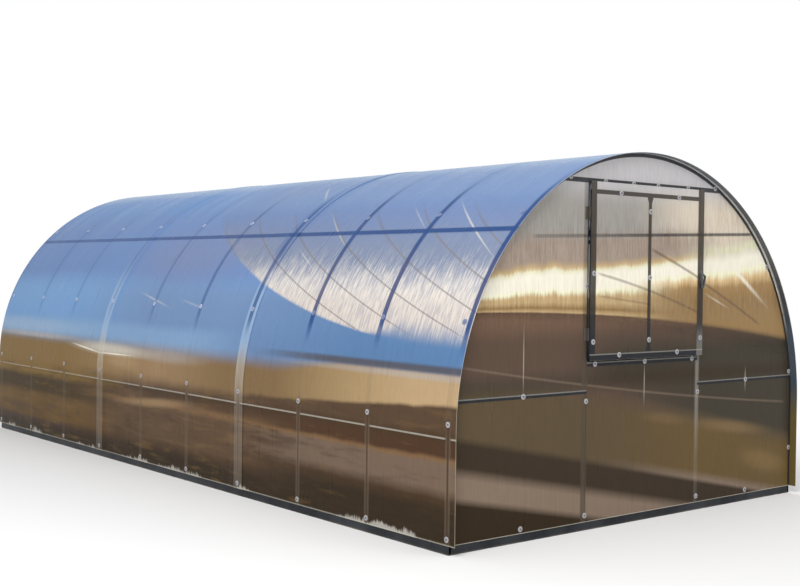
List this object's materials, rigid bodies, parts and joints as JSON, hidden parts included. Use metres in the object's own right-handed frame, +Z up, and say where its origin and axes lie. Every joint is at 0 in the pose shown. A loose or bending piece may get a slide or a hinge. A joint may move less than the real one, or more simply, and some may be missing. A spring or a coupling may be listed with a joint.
{
  "type": "arched polycarbonate greenhouse",
  "caption": "Arched tunnel greenhouse with a square tube steel frame, bronze twin-wall sheets lapped over the arches and a hinged vent leaf in each gable.",
  "frame": {"origin": "on the ground at the middle of the plan", "axes": "+Z up, length along Y, the gable that is seen faces -Y, +X to the right of someone facing that gable"},
  "size_m": [3.0172, 6.1, 2.1334],
  "materials": {
    "base_tube": "dark slate coating, satin",
    "frame_tube": "dark zinc, satin",
    "roof_sheet": "bronze twin-wall, glossy",
    "gable_sheet": "bronze twin-wall, glossy",
    "leaf_sheet": "bronze twin-wall, glossy",
    "hinge": "dark zinc",
    "latch": "black moulded"
  },
  "bodies": {
    "root": {"base_rail_front": "base_tube", "base_rail_rear": "base_tube", "base_rail_left": "base_tube", "base_rail_right": "base_tube", "end_arch_front": "frame_tube", "arch_2": "frame_tube", "arch_3": "frame_tube", "arch_4": "frame_tube", "arch_5": "frame_tube", "arch_6": "frame_tube", "arch_7": "frame_tube", "arch_8": "frame_tube", "arch_9": "frame_tube", "end_arch_rear": "frame_tube", "side_rail_left": "frame_tube", "side_rail_right": "frame_tube", "purlin_left": "frame_tube", "purlin_right": "frame_tube", "front_posts": "frame_tube", "rear_posts": "frame_tube", "front_lintel": "frame_tube", "rear_lintel": "frame_tube", "front_mid_rails": "frame_tube", "rear_mid_rails": "frame_tube", "front_vent_sill": "frame_tube", "rear_vent_sill": "frame_tube", "front_vent_frame": "frame_tube", "rear_vent_frame": "frame_tube", "front_vent_sheet": "leaf_sheet", "rear_vent_sheet": "leaf_sheet", "front_gable_sheet_left": "gable_sheet", "front_gable_sheet_right": "gable_sheet", "front_gable_sheet_centre": "gable_sheet", "rear_gable_sheet_left": "gable_sheet", "rear_gable_sheet_right": "gable_sheet", "rear_gable_sheet_centre": "gable_sheet", "roof_sheet_front": "roof_sheet", "roof_sheet_middle": "roof_sheet", "roof_sheet_rear": "roof_sheet", "front_vent_hinges": "hinge", "rear_vent_hinges": "hinge", "front_vent_latch": "latch", "rear_vent_latch": "latch"}
  },
  "joints": []
}
